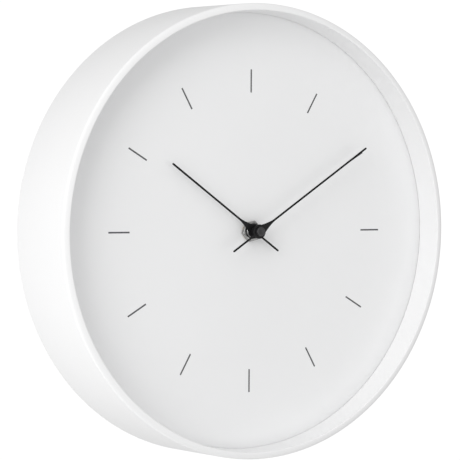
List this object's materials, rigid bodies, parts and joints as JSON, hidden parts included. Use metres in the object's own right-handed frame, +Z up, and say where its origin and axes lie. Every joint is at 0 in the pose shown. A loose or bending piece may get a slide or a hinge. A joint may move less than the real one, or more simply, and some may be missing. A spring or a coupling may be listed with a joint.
{
  "type": "wall clock",
  "caption": "Round wall clock: deep drum case with a rolled lip, recessed blank dial, winged needle hands and a battery quartz movement behind a screwed rear cover.",
  "frame": {"origin": "the hanging point: the centre of the nail's shank at the top of the keyhole, on the wall plane", "axes": "+Z up, +Y into the wall, -Y the way the dial faces, +X to the right as the dial is read; the hands' axis is parallel to Y and 105 mm below the origin"},
  "size_m": [0.275, 0.054, 0.275],
  "materials": {
    "case_white": "fine satin-matt white, moulded",
    "dial_white": "matt white paint with printed dark grey hour marks",
    "back_white": "plain moulded white, lightly textured",
    "hand_black": "satin black paint on stamped aluminium",
    "cap_black": "satin dark grey",
    "movement_black": "black moulded plastic, fine spark texture",
    "gear_white": "natural white acetal",
    "gear_ivory": "ivory acetal",
    "gear_grey": "grey acetal",
    "rubber_black": "soft black rubber",
    "brass": "stamped brass",
    "nickel": "nickel plate",
    "screw_zinc": "bright zinc plate",
    "stator_steel": "dull electrical steel",
    "magnet_grey": "sintered magnet, dark grey",
    "copper": "enamelled copper wire",
    "board_green": "green solder mask",
    "chip_black": "black epoxy blob",
    "battery_wrap": "plain blue wrap over a steel can, no print"
  },
  "bodies": {
    "case": {"case_shell": "case_white", "dial_plate": "dial_white", "dial_retaining_ring": "back_white", "rear_cover": "back_white", "cover_screw_1": "screw_zinc", "cover_screw_2": "screw_zinc", "cover_screw_3": "screw_zinc", "cover_screw_4": "screw_zinc", "movement_housing": "movement_black", "threaded_bush": "nickel", "movement_rear_plate": "movement_black", "wheel_bridge": "gear_white", "rubber_washer": "rubber_black", "brass_washer": "brass", "hex_nut": "nickel", "stator": "stator_steel", "coil_core": "stator_steel", "coil_bobbin": "gear_white", "coil_winding": "copper", "circuit_board": "board_green", "clock_chip": "chip_black", "quartz_crystal": "nickel", "battery": "battery_wrap", "battery_contact_positive": "nickel", "battery_contact_negative": "nickel"},
    "minute_group": {"minute_pipe": "movement_black", "minute_hand": "hand_black", "hand_nut": "cap_black"},
    "hour_group": {"hour_wheel": "movement_black", "hour_hand": "hand_black"},
    "motion_group": {"motion_wheel": "gear_white"},
    "setting_group": {"setting_arbor": "gear_grey", "setting_knob": "gear_grey"},
    "centre_group": {"centre_wheel": "gear_ivory"},
    "third_group": {"third_wheel": "gear_white"},
    "fourth_group": {"fourth_wheel": "gear_ivory"},
    "fifth_group": {"fifth_wheel": "gear_white"},
    "rotor_group": {"rotor_pinion": "gear_grey", "rotor_magnet": "magnet_grey"}
  },
  "joints": [
    {"name": "minute_turn", "type": "hinge", "parent": "case", "child": "minute_group", "pos_m": [0, -0.0462, -0.105], "axis": [0, 1, 0], "continuous": true},
    {"name": "hour_turn", "type": "hinge", "parent": "case", "child": "hour_group", "pos_m": [0, -0.0411, -0.105], "axis": [0, 1, 0], "continuous": true},
    {"name": "motion_turn", "type": "hinge", "parent": "case", "child": "motion_group", "pos_m": [0.0072, -0.0306, -0.105], "axis": [0, 1, 0], "continuous": true},
    {"name": "setting_turn", "type": "hinge", "parent": "case", "child": "setting_group", "pos_m": [0.01397, -0.017, -0.10746], "axis": [0, 1, 0], "continuous": true},
    {"name": "rotor_turn", "type": "hinge", "parent": "case", "child": "rotor_group", "pos_m": [0.01018, -0.024, -0.09637], "axis": [0, 1, 0], "continuous": true},
    {"name": "fifth_turn", "type": "hinge", "parent": "case", "child": "fifth_group", "pos_m": [0.0036, -0.0216, -0.09876], "axis": [0, 1, 0], "continuous": true},
    {"name": "fourth_turn", "type": "hinge", "parent": "case", "child": "fourth_group", "pos_m": [0, -0.025, -0.105], "axis": [0, 1, 0], "continuous": true},
    {"name": "third_turn", "type": "hinge", "parent": "case", "child": "third_group", "pos_m": [-0.00779, -0.0278, -0.1005], "axis": [0, 1, 0], "continuous": true},
    {"name": "centre_turn", "type": "hinge", "parent": "case", "child": "centre_group", "pos_m": [0, -0.0292, -0.105], "axis": [0, 1, 0], "continuous": true}
  ],
  "couplings": [
    {"joint": "hour_turn", "follows": "minute_turn", "ratio": 0.083333},
    {"joint": "motion_turn", "follows": "minute_turn", "ratio": -0.33333},
    {"joint": "setting_turn", "follows": "minute_turn", "ratio": 1},
    {"joint": "fifth_turn", "follows": "rotor_turn", "ratio": -0.16667},
    {"joint": "fourth_turn", "follows": "rotor_turn", "ratio": 0.033333},
    {"joint": "third_turn", "follows": "rotor_turn", "ratio": -0.0041667},
    {"joint": "centre_turn", "follows": "rotor_turn", "ratio": 0.00055556}
  ]
}
